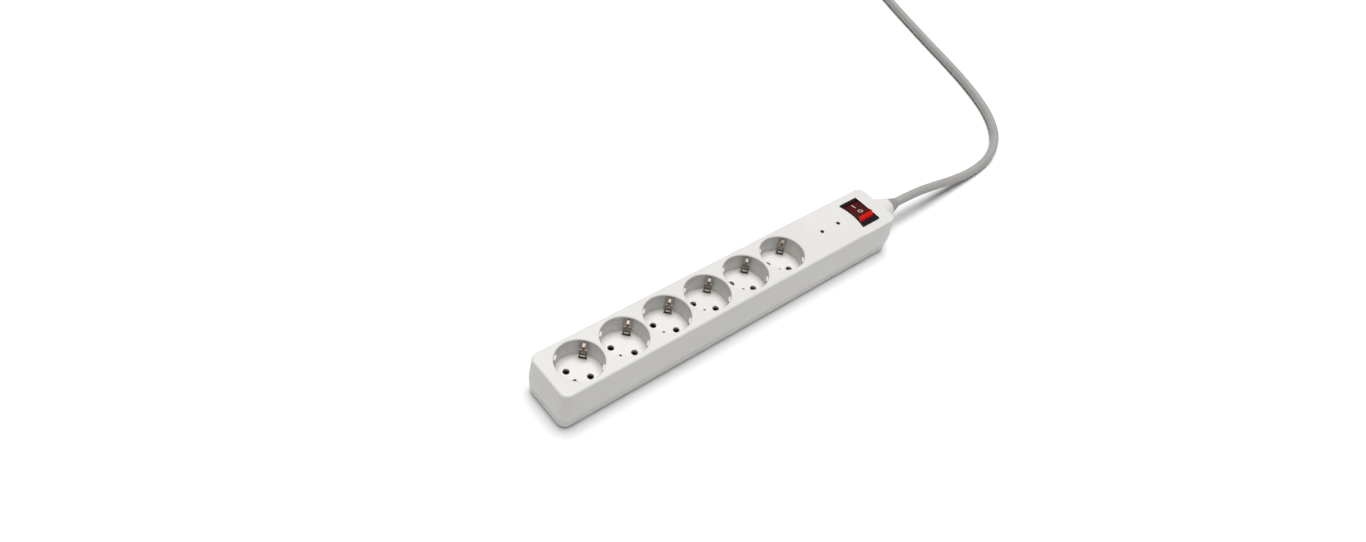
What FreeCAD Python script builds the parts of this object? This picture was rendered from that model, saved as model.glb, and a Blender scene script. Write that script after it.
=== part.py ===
"""Six-way socket strip with a lit rocker switch, its inner parts, its cord and its plug, in millimetres.

X runs along the strip from the closed end to the cord, Y across it, Z up from the surface it stands on.
The origin is the middle of the strip's box on that surface, without the cord beyond the strain relief.
"""
import FreeCAD, Part
import math
import os
import re
import Sketcher

Vector = FreeCAD.Vector
doc = FreeCAD.newDocument("power_strip")
sheet = doc.addObject("Spreadsheet::Sheet", "sizes")
SOCKETS = 6
X_AXIS = Vector(1, 0, 0)
Y_AXIS = Vector(0, 1, 0)
Z_AXIS = Vector(0, 0, 1)

# ---- driving sizes: one cell each ----
DRIVING = {
    # housing
    "body_length": 370, "body_width": 52, "body_height": 40, "corner_radius": 9,
    "belt_height": 18, "upper_draft": 5, "lower_draft": 6, "belt_radius": 45,
    "top_edge_radius": 2, "foot_edge_radius": 2.5, "seam_height": 8.8,
    "seam_gap": 0.35, "seam_depth": 0.8,
    "side_wall": 2.2, "roof": 2.4, "floor": 2.2,
    "step_height": 0.8, "arc_setback": 36.7, "arc_radius": 44,
    # neck and strain relief
    "neck_reach": 16, "neck_root_width": 34, "neck_root_tall": 32, "neck_root_middle": 20.6,
    "neck_waist_width": 24, "neck_waist_tall": 24.5, "neck_waist_middle": 22.2,
    "neck_tip_width": 18.6, "sleeve_wall": 2,
    "cord_height": 24, "relief_reach": 12, "relief_root_radius": 8.6, "relief_tip_wall": 0.8,
    "cord_diameter": 8.6,
    # sockets
    "first_socket": 32, "pitch": 42.5, "socket_turn": 47, "well_diameter": 39.4, "well_depth": 17.5,
    "well_floor": 2.4, "cup_wall": 1.9, "rim_chamfer": 0.6, "pin_spacing": 19, "pin_hole": 5.6,
    "rib_width": 5.2, "rib_stand": 1.6, "rib_drop": 3,
    "recess_width": 7.6, "recess_depth": 1.2, "recess_drop": 1.4,
    # earth parts
    "clip_width": 6.2, "clip_setback": 3.3, "clip_lean": 0.9, "clip_drop": 4.4, "clip_metal": 0.6,
    "tongue_width": 2.0, "earth_bar_width": 6, "earth_bar_metal": 0.8, "slot_gap": 0.5,
    # live and neutral bars
    "bar_metal": 0.7, "bar_tall": 9, "contact_drop": 13.1, "pin_diameter": 4.8, "contact_length": 7.4,
    # fixings
    "boss_radius": 3.1, "boss_setback": 8.8, "screw_radius": 1.45, "screw_head_radius": 2,
    "screw_head_tall": 1.8, "screw_reach": 19, "screw_sink": 0.9,
    # indicator lamps and surge board
    "lamp_place": 49.5, "lamp_gap": 20.4, "lamp_hole": 3.8, "lamp_radius": 2.5, "lamp_tall": 8.5,
    "board_length": 45, "board_width": 17.6, "board_metal": 1.6, "board_height": 9,
    "varistor_radius": 7, "varistor_thick": 4.4,
    # switch
    "switch_setback": 27.4, "bezel_length": 21.8, "bezel_width": 31.4, "bezel_tall": 1.2, "bezel_corner": 1.2,
    "case_length": 20.2, "case_width": 27.6, "case_depth": 21, "case_wall": 0.9, "cutout_gap": 0.1,
    "rocker_width": 17.6, "rocker_radius": 11, "rocker_gap": 0.3, "rocker_side_gap": 0.6,
    "rocker_dip": 5.25, "rocker_vee": 6, "rocker_skin": 2.1, "rocker_tilt": 11.5, "rocker_shift": 1.2,
    "pivot_drop": 4.8, "trunnion_radius": 1.5, "trunnion_fit": 0.05,
    "pole_gap": 10, "lever_drop": 12.2, "lever_tilt": 5, "blade_reach": 9.6,
    "lever_pivot_radius": 0.8, "pivot_clearance": 0.3, "anvil_drop": 2,
    "blade_metal": 0.8, "blade_width": 6.2,
    # inner wires and clamp
    "core_radius": 1.2, "clamp_length": 7, "clamp_width": 26, "clamp_tall": 5,
    # coil and plug
    "coil_x": 482.5, "coil_y": 361.2, "coil_radius": 43, "turn_gap": 0.2, "floor_gap": 0.1,
    "tie_width": 9, "tie_metal": 0.8, "tie_slack": 0.6,
    "plug_radius": 18.5, "plug_length": 54, "plug_relief_length": 30, "plug_pin_length": 19,
}
# ---- sizes worked out from them ----
DERIVED = {
    "half_width": "body_width / 2",
    "near_x": "-(body_length + neck_reach + relief_reach) / 2",
    "end_x": "near_x + body_length",
    "neck_end": "end_x + neck_reach",
    "relief_tip": "neck_end + relief_reach",
    "upper_rise": "body_height - belt_height",
    "core_length": "body_length - 2 * side_wall",
    "core_width": "body_width - 2 * side_wall",
    "core_corner": "corner_radius - side_wall",
    "seam_length": "body_length - 2 * seam_depth",
    "seam_width": "body_width - 2 * seam_depth",
    "seam_corner": "corner_radius - seam_depth",
    "core_top": "body_height - roof",
    "well_radius": "well_diameter / 2",
    "cup_radius": "well_radius + cup_wall",
    "well_bed": "body_height - well_depth",
    "cup_foot": "well_bed - well_floor",
    "bar_foot": "cup_foot - contact_drop",
    "pin_x": "pin_spacing / 2 * cos(socket_turn)",
    "pin_y": "pin_spacing / 2 * sin(socket_turn)",
    "pin_ux": "cos(socket_turn)",
    "pin_uy": "-sin(socket_turn)",
    "clip_ux": "sin(socket_turn)",
    "clip_uy": "cos(socket_turn)",
    "socket_1": "near_x + first_socket",
    "last_socket": "socket_1 + 5 * pitch",
    "lamp_1": "last_socket + lamp_place",
    "lamp_2": "lamp_1 + lamp_gap",
    "board_middle": "lamp_1 + 6",
    "arc_x": "end_x - arc_setback",
    "zone_top": "body_height - step_height",
    "switch_x": "end_x - switch_setback",
    "bezel_top": "zone_top + bezel_tall",
    "pivot_z": "bezel_top - pivot_drop",
    "case_foot": "zone_top - case_depth",
    "opening_length": "rocker_width + 2 * rocker_side_gap",
    "opening_half": "rocker_radius + rocker_gap",
    "neck_bore": "cord_diameter + 2 * sleeve_wall",
    "relief_tip_radius": "cord_diameter / 2 + relief_tip_wall",
    "clip_reach": "well_radius - clip_setback",
    "boss_line": "half_width - boss_setback",
    "lever_height": "pivot_z - lever_drop",
    "saddle_drop": "lever_pivot_radius + pivot_clearance",
    "coil_spacing": "cord_diameter + turn_gap",
    "bar_line": "pin_y + pin_diameter / 2 + bar_metal / 2",
    "bar_end": "switch_x - 12.5",
    "earth_top": "cup_foot - 1.1",
    "earth_bar_top": "earth_top - clip_metal",
    "earth_bar_foot": "earth_bar_top - earth_bar_metal",
    "live_x": "switch_x - pole_gap / 2",
    "neutral_x": "switch_x + pole_gap / 2",
    "jacket_start": "end_x - 11",
    "clamp_x": "end_x - 7.5",
    "clamp_top": "cord_height - cord_diameter / 2 + 1.8",
    "clamp_foot": "clamp_top - clamp_tall",
    "plug_axis_y": "coil_y + coil_radius + 0.3",
    "plug_back": "coil_x - 40.5 - plug_relief_length",
    "plug_face": "plug_back - plug_length",
}


def fill_sheet():
    """Writes every size into column B with its alias, and its name beside it."""
    row = 1
    for name, number in DRIVING.items():
        sheet.set(f"A{row}", name)
        sheet.set(f"B{row}", str(number))
        sheet.setAlias(f"B{row}", name)
        row += 1
    for name, formula in DERIVED.items():
        sheet.set(f"A{row}", name)
        sheet.set(f"B{row}", "=" + formula)
        sheet.setAlias(f"B{row}", name)
        row += 1
    doc.recompute()


fill_sheet()
NAMES = set(DRIVING) | set(DERIVED)


def size(name):
    """The number in a cell, for shapes that are made in code."""
    return float(sheet.get(name))


def expr(text):
    """An expression on the sheet's cells: each alias gets the sheet's name."""
    return re.sub(r"[a-z][a-z_0-9]*", lambda word: ("sizes." if word[0] in NAMES else "") + word[0], text)


def bind(thing, **cells):
    for prop, text in cells.items():
        thing.setExpression(prop.replace("__", "."), expr(text))


def place(thing, x, y, z):
    bind(thing, Placement__Base__x=x, Placement__Base__y=y, Placement__Base__z=z)
    return thing


# ---- primitives and booleans, their sizes bound to the sheet ----
def box(name, length, width, height, x, y, z):
    """A box centred on x and y that stands on z."""
    thing = doc.addObject("Part::Box", name)
    bind(thing, Length=length, Width=width, Height=height)
    return place(thing, f"({x}) - ({length}) / 2", f"({y}) - ({width}) / 2", z)


def turned_box(name, length, width, height, socket, along, z, line):
    """A box on a socket's pin line or clip line, its middle at a distance along that line."""
    thing = doc.addObject("Part::Box", name)
    bind(thing, Length=length, Width=width, Height=height)
    heading = -size("socket_turn") if line == "pin" else 90 - size("socket_turn")
    thing.Placement = FreeCAD.Placement(Vector(), FreeCAD.Rotation(Z_AXIS, heading))
    back = f"(({along}) - ({length}) / 2)"
    side = f"({width}) / 2"
    x = f"({socket}) + {back} * {line}_ux + {side} * {line}_uy"
    y = f"{back} * {line}_uy - {side} * {line}_ux"
    return place(thing, x, y, z)


def cylinder(name, radius, height, x, y, z, axis=Z_AXIS):
    thing = doc.addObject("Part::Cylinder", name)
    bind(thing, Radius=radius, Height=height)
    thing.Placement = FreeCAD.Placement(Vector(), FreeCAD.Rotation(Z_AXIS, axis))
    return place(thing, x, y, z)


def cone(name, radius_1, radius_2, height, x, y, z, axis=Z_AXIS):
    thing = doc.addObject("Part::Cone", name)
    bind(thing, Radius1=radius_1, Radius2=radius_2, Height=height)
    thing.Placement = FreeCAD.Placement(Vector(), FreeCAD.Rotation(Z_AXIS, axis))
    return place(thing, x, y, z)


def fuse(name, things):
    thing = doc.addObject("Part::MultiFuse", name)
    thing.Shapes = things
    return thing


def cut(name, base, tools):
    thing = doc.addObject("Part::Cut", name)
    thing.Base = base
    thing.Tool = tools[0] if len(tools) == 1 else fuse(name + "_tools", tools)
    return thing


def common(name, base, tool):
    thing = doc.addObject("Part::Common", name)
    thing.Base = base
    thing.Tool = tool
    return thing


def group(name, things):
    """Separate solids in one sub-part."""
    thing = doc.addObject("Part::Compound", name)
    thing.Links = things
    return thing


def shaped(name, shape):
    thing = doc.addObject("Part::Feature", name)
    thing.Shape = shape
    return thing


# ---- sketches and bodies ----
def plane(body, role):
    for feature in body.Origin.OriginFeatures:
        if feature.Role == role:
            return feature
    raise ValueError(role)


def rounded_sketch(body, name, role, offset, middle_a, middle_b, length, width, radius):
    """A closed rounded rectangle on one of the body's own planes, moved along its normal by offset."""
    sketch = body.newObject("Sketcher::SketchObject", name)
    sketch.AttachmentSupport = [(plane(body, role), "")]
    sketch.MapMode = "FlatFace"
    sketch.setExpression("AttachmentOffset.Base.x", expr(middle_a))
    sketch.setExpression("AttachmentOffset.Base.y", expr(middle_b))
    sketch.setExpression("AttachmentOffset.Base.z", expr(offset))
    half_a, half_b, bend = size(length) / 2, size(width) / 2, size(radius)
    corners = [(half_a, half_b, 0), (-half_a, half_b, 90), (-half_a, -half_b, 180), (half_a, -half_b, 270)]
    for a, b, start in corners:
        centre = Vector(a - math.copysign(bend, a), b - math.copysign(bend, b), 0)
        circle = Part.Circle(centre, Z_AXIS, bend)
        sketch.addGeometry(Part.ArcOfCircle(circle, math.radians(start), math.radians(start + 90)))
    for index in range(4):
        first = sketch.Geometry[index]
        after = sketch.Geometry[(index + 1) % 4]
        sketch.addGeometry(Part.LineSegment(first.EndPoint, after.StartPoint))
    for index in range(4):
        sketch.addConstraint(Sketcher.Constraint("Tangent", index, 2, index + 4, 1))
        sketch.addConstraint(Sketcher.Constraint("Tangent", index + 4, 2, (index + 1) % 4, 1))
    sketch.addConstraint(Sketcher.Constraint("Horizontal", 4))
    sketch.addConstraint(Sketcher.Constraint("Vertical", 5))
    for index in range(1, 4):
        sketch.addConstraint(Sketcher.Constraint("Equal", 0, index))
    sketch.addConstraint(Sketcher.Constraint("Symmetric", 0, 3, 2, 3, -1, 1))
    bound = {"Radius": radius, "DistanceX": length, "DistanceY": width}
    bend_at = sketch.addConstraint(Sketcher.Constraint("Radius", 0, bend))
    long_at = sketch.addConstraint(Sketcher.Constraint("DistanceX", 5, 1, 7, 1, 2 * half_a))
    wide_at = sketch.addConstraint(Sketcher.Constraint("DistanceY", 6, 1, 4, 1, 2 * half_b))
    for index, kind in ((bend_at, "Radius"), (long_at, "DistanceX"), (wide_at, "DistanceY")):
        sketch.setExpression(f"Constraints[{index}]", expr(bound[kind]))
    return sketch


def edges_at(shape, height):
    """The names of the edges that lie in the level plane at a height."""
    found = []
    for index, edge in enumerate(shape.Edges, 1):
        if abs(edge.BoundBox.ZMin - height) < 0.01 and abs(edge.BoundBox.ZMax - height) < 0.01:
            found.append(f"Edge{index}")
    return found


def drafted_block(name, length, width, radius, top, foot):
    """The strip's outline at the belt, drawn in towards the top and towards the foot."""
    body = doc.addObject("PartDesign::Body", name)
    middle = "near_x + body_length / 2"
    belt = ("XY_Plane", "belt_height", middle, "0", length, width, radius)
    upper = rounded_sketch(body, name + "_upper", *belt)
    pad = body.newObject("PartDesign::Pad", name + "_rise")
    pad.Profile = upper
    bind(pad, Length=f"{top} - belt_height", TaperAngle="-upper_draft")
    lower = rounded_sketch(body, name + "_lower", *belt)
    fall = body.newObject("PartDesign::Pad", name + "_fall")
    fall.Profile = lower
    fall.Reversed = True
    bind(fall, Length=f"belt_height - {foot}", TaperAngle="-lower_draft")
    doc.recompute()
    return body


def rounded_edges(body, name, height, radius):
    tip = body.Tip
    fillet = body.newObject("PartDesign::Fillet", name)
    fillet.Base = (tip, edges_at(tip.Shape, height))
    bind(fillet, Radius=radius)
    body.Tip = fillet
    doc.recompute()


# ---- wires: straight runs joined by tangent arcs ----
def rounded_wire(points, radii):
    """One wire through the points, with an arc of its own radius at each inner point."""
    edges = []
    start = points[0]
    for index in range(1, len(points) - 1):
        into = (points[index] - points[index - 1]).normalize()
        out = (points[index + 1] - points[index]).normalize()
        turn = into.getAngle(out)
        reach = radii[index - 1] * math.tan(turn / 2)
        first = points[index] - into * reach
        last = points[index] + out * reach
        inward = (out - into).normalize()
        centre = points[index] + inward * (radii[index - 1] / math.cos(turn / 2))
        middle = centre - inward * radii[index - 1]
        edges.append(Part.LineSegment(start, first).toShape())
        edges.append(Part.Arc(first, middle, last).toShape())
        start = last
    edges.append(Part.LineSegment(start, points[-1]).toShape())
    return Part.Wire(edges)


def tube(wire, radius):
    first = wire.Edges[0]
    start = first.valueAt(first.FirstParameter)
    along = first.tangentAt(first.FirstParameter)
    profile = Part.Wire([Part.makeCircle(radius, start, along)])
    return wire.makePipeShell([profile], True, True)


def strip_solid(points, bend, metal, width):
    """A bent metal strip: its line in the XZ plane, its metal to one side and its width across Y."""
    wire = rounded_wire([Vector(*p) for p in points], [bend] * (len(points) - 2))
    face = wire.makeOffset2D(metal, 0, True, True, False)
    solid = face.extrude(Vector(0, width, 0))
    solid.translate(Vector(0, -width / 2, 0))
    return solid


def inner_wire(name, points):
    """An insulated core inside the housing."""
    line = [Vector(*p) for p in points]
    radii = []
    for index in range(1, len(line) - 1):
        into = line[index] - line[index - 1]
        out = line[index + 1] - line[index]
        shorter = min(into.Length, out.Length)
        radii.append(0.42 * shorter / math.tan(into.getAngle(out) / 2))
    return shaped(name, tube(rounded_wire(line, radii), size("core_radius")))


PARTS = []


def part(node, thing):
    """Marks an object as a sub-part: its Label names its file."""
    thing.Label = node
    PARTS.append(thing)
    return thing


def socket_x(index):
    return f"socket_1 + {index} * pitch"


# ---- housing ----
def housing():
    envelope = drafted_block("envelope", "body_length", "body_width", "corner_radius", "body_height", "0")
    rounded_edges(envelope, "envelope_belt", size("belt_height"), "belt_radius")
    rounded_edges(envelope, "envelope_top", size("body_height"), "top_edge_radius")
    rounded_edges(envelope, "envelope_foot", 0, "foot_edge_radius")
    core = drafted_block("core", "core_length", "core_width", "core_corner", "core_top", "floor")
    behind_seam = drafted_block(
        "behind_seam", "seam_length", "seam_width", "seam_corner", "core_top", "floor",
    )
    seam_slab = box("seam_slab", "body_length * 2", "body_width * 2", "seam_gap", "0", "0", "seam_height")
    seam = cut("seam", seam_slab, [behind_seam])

    neck = doc.addObject("PartDesign::Body", "neck")
    sections = []
    for name, reach, middle, width, tall in (
        ("root", "end_x - 1.5", "neck_root_middle", "neck_root_width", "neck_root_tall"),
        ("waist", "end_x + neck_reach * 0.42", "neck_waist_middle", "neck_waist_width", "neck_waist_tall"),
        ("tip", "neck_end", "cord_height", "neck_tip_width", "neck_tip_width"),
    ):
        sections.append(
            rounded_sketch(neck, "neck_" + name, "YZ_Plane", reach, "0", middle, width, tall, "corner_radius")
        )
    loft = neck.newObject("PartDesign::AdditiveLoft", "neck_loft")
    loft.Profile = sections[0]
    loft.Sections = sections[1:]
    loft.Ruled = False
    doc.recompute()

    upper = box("upper_room", "body_length * 2", "body_width * 2", "body_height", "0", "0", "seam_height")
    lower = box("lower_room", "body_length * 2", "body_width * 2", "seam_height", "0", "0", "0")
    outside = fuse("outside", [envelope, neck])
    upper_blank = common("upper_blank", outside, upper)
    lower_blank = common("lower_blank", envelope, lower)
    upper_shell = cut("upper_shell", upper_blank, [core, seam])
    lower_shell = cut("lower_shell", lower_blank, [core])
    top_cover(upper_shell)
    base_cover(lower_shell)


BOSSES = [
    (f"{socket_x(index)} + pitch / 2", side) for index in (0, 2, 4) for side in ("boss_line", "-boss_line")
] + [("lamp_1 + lamp_gap / 2", side) for side in ("boss_line", "-boss_line")]
CLAMP_LINES = ("clamp_width / 2 - 3.5", "3.5 - clamp_width / 2")


def top_cover(shell):
    added = [shell]
    removed = []
    for index in range(SOCKETS):
        x = socket_x(index)
        name = f"socket_{index + 1}"
        added.append(cylinder(name + "_cup", "cup_radius", "core_top + 1 - cup_foot", x, "0", "cup_foot"))
        well = cylinder(name + "_well", "well_radius", "well_depth + 1", x, "0", "well_bed")
        ribs = []
        for side, sign in (("a", ""), ("b", "-")):
            ribs.append(
                turned_box(
                    f"{name}_rib_{side}", "2 * rib_stand", "rib_width", "well_depth - rib_drop",
                    x, f"{sign}well_radius", "well_bed", "pin",
                )
            )
        removed.append(cut(name + "_room", well, ribs))
        removed.append(
            cone(
                name + "_rim", "well_radius", "well_radius + rim_chamfer", "rim_chamfer",
                x, "0", "body_height - rim_chamfer",
            )
        )
        for side, sign in (("a", ""), ("b", "-")):
            removed.append(
                turned_box(
                    f"{name}_recess_{side}", "4 + recess_depth", "recess_width", "well_depth - recess_drop",
                    x, f"{sign}(well_radius - 4 / 2 + recess_depth / 2)", "well_bed", "clip",
                )
            )
            removed.append(
                turned_box(
                    f"{name}_slot_{side}", "clip_metal + 2 * slot_gap", "clip_width + 2 * slot_gap",
                    "well_floor + 2", x, f"{sign}(clip_reach - clip_metal / 2)", "cup_foot - 1", "clip",
                )
            )
            removed.append(
                cylinder(
                    f"{name}_pin_hole_{side}", "pin_hole / 2", "well_floor + 2",
                    f"{x} + ({sign}pin_x)", f"-({sign}pin_y)", "cup_foot - 1",
                )
            )
    for index, (x, y) in enumerate(BOSSES):
        added.append(
            cylinder(f"boss_{index}", "boss_radius", "core_top + 0.5 - seam_height", x, y, "seam_height")
        )
        pilot = cylinder(f"pilot_{index}", "screw_radius + 0.05", "screw_reach", x, y, "seam_height - 1")
        removed.append(pilot)
    post = "core_top + 0.5 - clamp_top"
    pilot = "screw_radius + 0.05"
    for index, y in enumerate(CLAMP_LINES):
        added.append(cylinder(f"clamp_post_{index}", "3", post, "clamp_x", y, "clamp_top"))
        removed.append(cylinder(f"clamp_pilot_{index}", pilot, "9", "clamp_x", y, "clamp_top - 1"))
    for index, x in enumerate(("lamp_1", "lamp_2")):
        removed.append(cylinder(f"lamp_hole_{index}", "lamp_hole / 2", "roof + 2", x, "0", "core_top - 1"))
    removed.append(
        cylinder("neck_way", "neck_bore / 2", "neck_reach + 12", "end_x - 10", "0", "cord_height", X_AXIS)
    )
    cutout = box(
        "cutout", "case_length + 2 * cutout_gap", "case_width + 2 * cutout_gap", "roof + 2",
        "switch_x", "0", "core_top - 1",
    )
    overhang = cylinder("overhang", "arc_radius", "roof + 4", "arc_x - arc_radius", "0", "core_top - 2")
    removed.append(cut("cutout_trimmed", cutout, [overhang]))
    zone = box("zone_room", "140", "body_width + 10", "step_height + 1", "arc_x + 30", "0", "zone_top")
    plate = cylinder("plate_edge", "arc_radius", "step_height + 3", "arc_x - arc_radius", "0", "zone_top - 1")
    back = "arc_x - arc_radius - 70"
    behind = box("plate_back", "140", "body_width + 12", "step_height + 3", back, "0", "zone_top - 1")
    removed.append(cut("zone_cut", zone, [plate, behind]))
    part("top_cover", cut("top_cover", fuse("top_solid", added), removed))


def base_cover(shell):
    added = [shell]
    removed = []
    for index, (x, y) in enumerate(BOSSES):
        boss = "seam_height - floor / 2"
        added.append(cylinder(f"base_boss_{index}", "boss_radius", boss, x, y, "floor / 2"))
        removed.append(cylinder(f"base_way_{index}", "screw_radius + 0.3", "seam_height + 2", x, y, "-1"))
        removed.append(
            cylinder(
                f"base_sink_{index}", "screw_head_radius + 0.2",
                "screw_head_tall + screw_sink + 1", x, y, "-1",
            )
        )
    for index in range(SOCKETS - 1):
        x = f"{socket_x(index)} + pitch / 2"
        earth_post = "earth_bar_foot - floor / 2"
        added.append(cylinder(f"earth_post_{index}", "2.4", earth_post, x, "0", "floor / 2"))
        for side, sign in (("a", ""), ("b", "-")):
            seat = "bar_foot - floor / 2"
            line = f"{sign}bar_line"
            added.append(box(f"bar_seat_{index}_{side}", "6", "2.6", seat, x, line, "floor / 2"))
    for index, x in enumerate(("board_middle - 17", "board_middle + 17")):
        added.append(cylinder(f"board_post_{index}", "2.4", "board_height - floor / 2", x, "0", "floor / 2"))
    part("base_cover", cut("base_cover", fuse("base_solid", added), removed))


def screw(name, x, y, z, reach):
    """A pan-head screw that points up, its head's flat side on z."""
    head = cylinder(name + "_head", "screw_head_radius", "screw_head_tall", x, y, f"({z}) - screw_head_tall")
    shank = cylinder(name + "_shank", "screw_radius", reach, x, y, z)
    drive_a = box(name + "_drive_a", "2.6", "0.6", "0.9", x, y, f"({z}) - screw_head_tall")
    drive_b = box(name + "_drive_b", "0.6", "2.6", "0.9", x, y, f"({z}) - screw_head_tall")
    return cut(name, fuse(name + "_blank", [head, shank]), [drive_a, drive_b])


def fixings():
    screws = []
    for index, (x, y) in enumerate(BOSSES):
        screws.append(screw(f"screw_{index}", x, y, "screw_sink + screw_head_tall", "screw_reach - 6"))
    part("housing_screws", group("housing_screws", screws))


# ---- contacts ----
def bars():
    for node, sign, other in (("live_bar", "-", ""), ("neutral_bar", "", "-")):
        start = f"socket_1 + ({other}pin_x) - contact_length / 2"
        solids = [
            box(
                node + "_strip", f"bar_end - ({start})", "bar_metal", "bar_tall",
                f"(bar_end + ({start})) / 2", f"{sign}bar_line", "bar_foot",
            )
        ]
        for index in range(SOCKETS):
            x = f"{socket_x(index)} + ({other}pin_x)"
            solids.append(
                box(
                    f"{node}_web_{index}", "bar_metal", "pin_diameter + 2 * bar_metal", "bar_tall",
                    f"{x} + contact_length / 2 - bar_metal / 2", f"{sign}pin_y", "bar_foot",
                )
            )
            solids.append(
                box(
                    f"{node}_leaf_{index}", "contact_length", "bar_metal", "bar_tall",
                    x, f"{sign}(pin_y - pin_diameter / 2 - bar_metal / 2)", "bar_foot",
                )
            )
        part(node, fuse(node, solids))
    part(
        "earth_bar",
        box(
            "earth_bar", "5 * pitch + 30", "earth_bar_width", "earth_bar_metal",
            "socket_1 + 2.5 * pitch", "0", "earth_bar_foot",
        ),
    )


def earth_clip_shape():
    """Both arms of one clip and the bridge under the well, about the well's axis, along X."""
    metal, width = size("clip_metal"), size("clip_width")
    reach, lean = size("clip_reach"), size("clip_lean")
    foot, bed, rim = size("earth_bar_top"), size("well_bed"), size("body_height")
    top = rim - size("clip_drop")
    shoulder = top - 2
    knee = bed + 4
    solids = [Part.makeBox(2 * reach, width, metal, Vector(-reach, -width / 2, foot))]
    arm = strip_solid([(reach, 0, foot), (reach, 0, knee), (reach - lean, 0, shoulder)], 1.2, metal, width)
    for low, tall in ((bed + 1, 2.6), (bed + 5.2, 2.6)):
        window = Part.makeBox(4, width - 2.4, tall, Vector(reach - 3, 1.2 - width / 2, low))
        arm = arm.cut(window)
    tongue = strip_solid(
        [
            (reach - lean, 0, shoulder - 1), (reach - lean, 0, top),
            (size("well_radius") + 0.7, 0, top + 1),
        ],
        0.8, metal, size("tongue_width"),
    )
    bead = Part.makeCylinder(0.6, width - 1.4, Vector(reach - lean / 2, 0.7 - width / 2, bed + 4.5), Y_AXIS)
    for piece in (arm, tongue, bead):
        solids.append(piece)
        solids.append(piece.rotated(Vector(), Z_AXIS, 180))
    return solids[0].fuse(solids[1:]).removeSplitter()


def earth_clips():
    shape = earth_clip_shape()
    for index in range(SOCKETS):
        node = f"earth_clip_{index + 1}"
        clip = shaped(node, shape.copy())
        clip.Placement = FreeCAD.Placement(Vector(), FreeCAD.Rotation(Z_AXIS, 90 - size("socket_turn")))
        bind(clip, Placement__Base__x=socket_x(index))
        part(node, clip)


# ---- switch ----
def switch_case():
    opening = box(
        "rocker_way", "opening_length", "2 * opening_half", "bezel_tall + 6",
        "switch_x", "rocker_shift", "zone_top - 4",
    )
    flange = doc.addObject("PartDesign::Body", "flange")
    outline = rounded_sketch(
        flange, "flange_outline", "XY_Plane", "zone_top", "switch_x", "0",
        "bezel_length", "bezel_width", "bezel_corner",
    )
    rise = flange.newObject("PartDesign::Pad", "flange_rise")
    rise.Profile = outline
    bind(rise, Length="bezel_tall")
    doc.recompute()
    rounded_edges(flange, "flange_edge", size("bezel_top"), "bezel_tall / 3")
    edge = "arc_radius + cutout_gap"
    plate = cylinder("bezel_arc", edge, "roof + bezel_tall + 1", "arc_x - arc_radius", "0", "core_top - 0.1")
    case = box("case_block", "case_length", "case_width", "case_depth", "switch_x", "0", "case_foot")
    room = box(
        "case_room", "case_length - 2 * case_wall", "case_width - 2 * case_wall", "case_depth - 1.2",
        "switch_x", "0", "case_foot - 1",
    )
    axle = cylinder(
        "axle_way", "trunnion_radius + trunnion_fit", "case_length - case_wall + 0.4",
        "switch_x - case_length / 2 + case_wall / 2 - 0.2", "rocker_shift", "pivot_z", X_AXIS,
    )
    part("switch_case", cut("switch_case", fuse("case_solid", [flange, case]), [plate, room, opening, axle]))
    plug_plate = box(
        "switch_base_block", "case_length - 2 * case_wall - 0.2", "case_width - 2 * case_wall - 0.2", "1.6",
        "switch_x", "0", "case_foot",
    )
    ways = []
    for pole in ("live_x", "neutral_x"):
        for y in ("rocker_shift", "rocker_shift - 9"):
            name = f"blade_way_{pole}_{len(ways)}"
            ways.append(
                box(name, "blade_metal + 0.1", "blade_width + 0.1", "4", pole, y, "case_foot - 1")
            )
    part("switch_base", cut("switch_base", plug_plate, ways))


def rocker_placement():
    tilt = FreeCAD.Rotation(X_AXIS, -size("rocker_tilt"))
    return FreeCAD.Placement(Vector(size("switch_x"), size("rocker_shift"), size("pivot_z")), tilt)


def rocker():
    """Drawn about its pivot with both halves level, then tipped to the on position."""
    drum = cylinder("drum", "rocker_radius", "rocker_width", "-rocker_width / 2", "0", "0", X_AXIS)
    keep = box("drum_keep", "rocker_width + 2", "3 * rocker_radius", "12", "0", "0", "-3")
    block = common("rocker_block", drum, keep)
    halves = []
    for side, sign in (("o", -1), ("i", 1)):
        half = doc.addObject("Part::Box", f"dish_{side}")
        bind(half, Length="rocker_width + 2", Width="rocker_radius * 1.5", Height="rocker_radius")
        turn = FreeCAD.Rotation(X_AXIS, sign * size("rocker_vee"))
        corner = Vector(-size("rocker_width") / 2 - 1, 0 if sign > 0 else -1.5 * size("rocker_radius"), 0)
        half.Placement = FreeCAD.Placement(Vector(0, 0, size("rocker_dip")) + turn.multVec(corner), turn)
        halves.append(half)
    hollow = box(
        "rocker_hollow", "rocker_width - 3", "1.5 * rocker_radius", "rocker_dip - rocker_skin + 3.5",
        "0", "0", "-3.5",
    )
    posts = []
    bores = []
    for side, sign in (("a", "-"), ("b", "")):
        posts.append(cylinder(f"post_{side}", "2.9", "rocker_dip + 7", f"{sign}pole_gap / 2", "0", "-8"))
        bores.append(cylinder(f"bore_{side}", "2.05", "5", f"{sign}pole_gap / 2", "0", "-8.5"))
    span = "case_length - case_wall"
    axle = cylinder("trunnion", "trunnion_radius", span, f"-({span}) / 2", "0", "0", X_AXIS)
    bay = box("lamp_bay", "rocker_width - 3", "1.5 * rocker_radius", "4", "0", "0", "-2")
    axle_ends = cut("trunnion_ends", axle, [bay])
    shell = cut("rocker_shell", block, halves + [hollow])
    blank = fuse("rocker_blank", [shell, axle_ends] + posts)
    solid = cut("rocker", blank, bores)
    solid.Placement = rocker_placement()
    part("rocker", solid)


def riding(name, shape):
    thing = shaped(name, shape)
    thing.Placement = rocker_placement()
    return part(name, thing)


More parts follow.
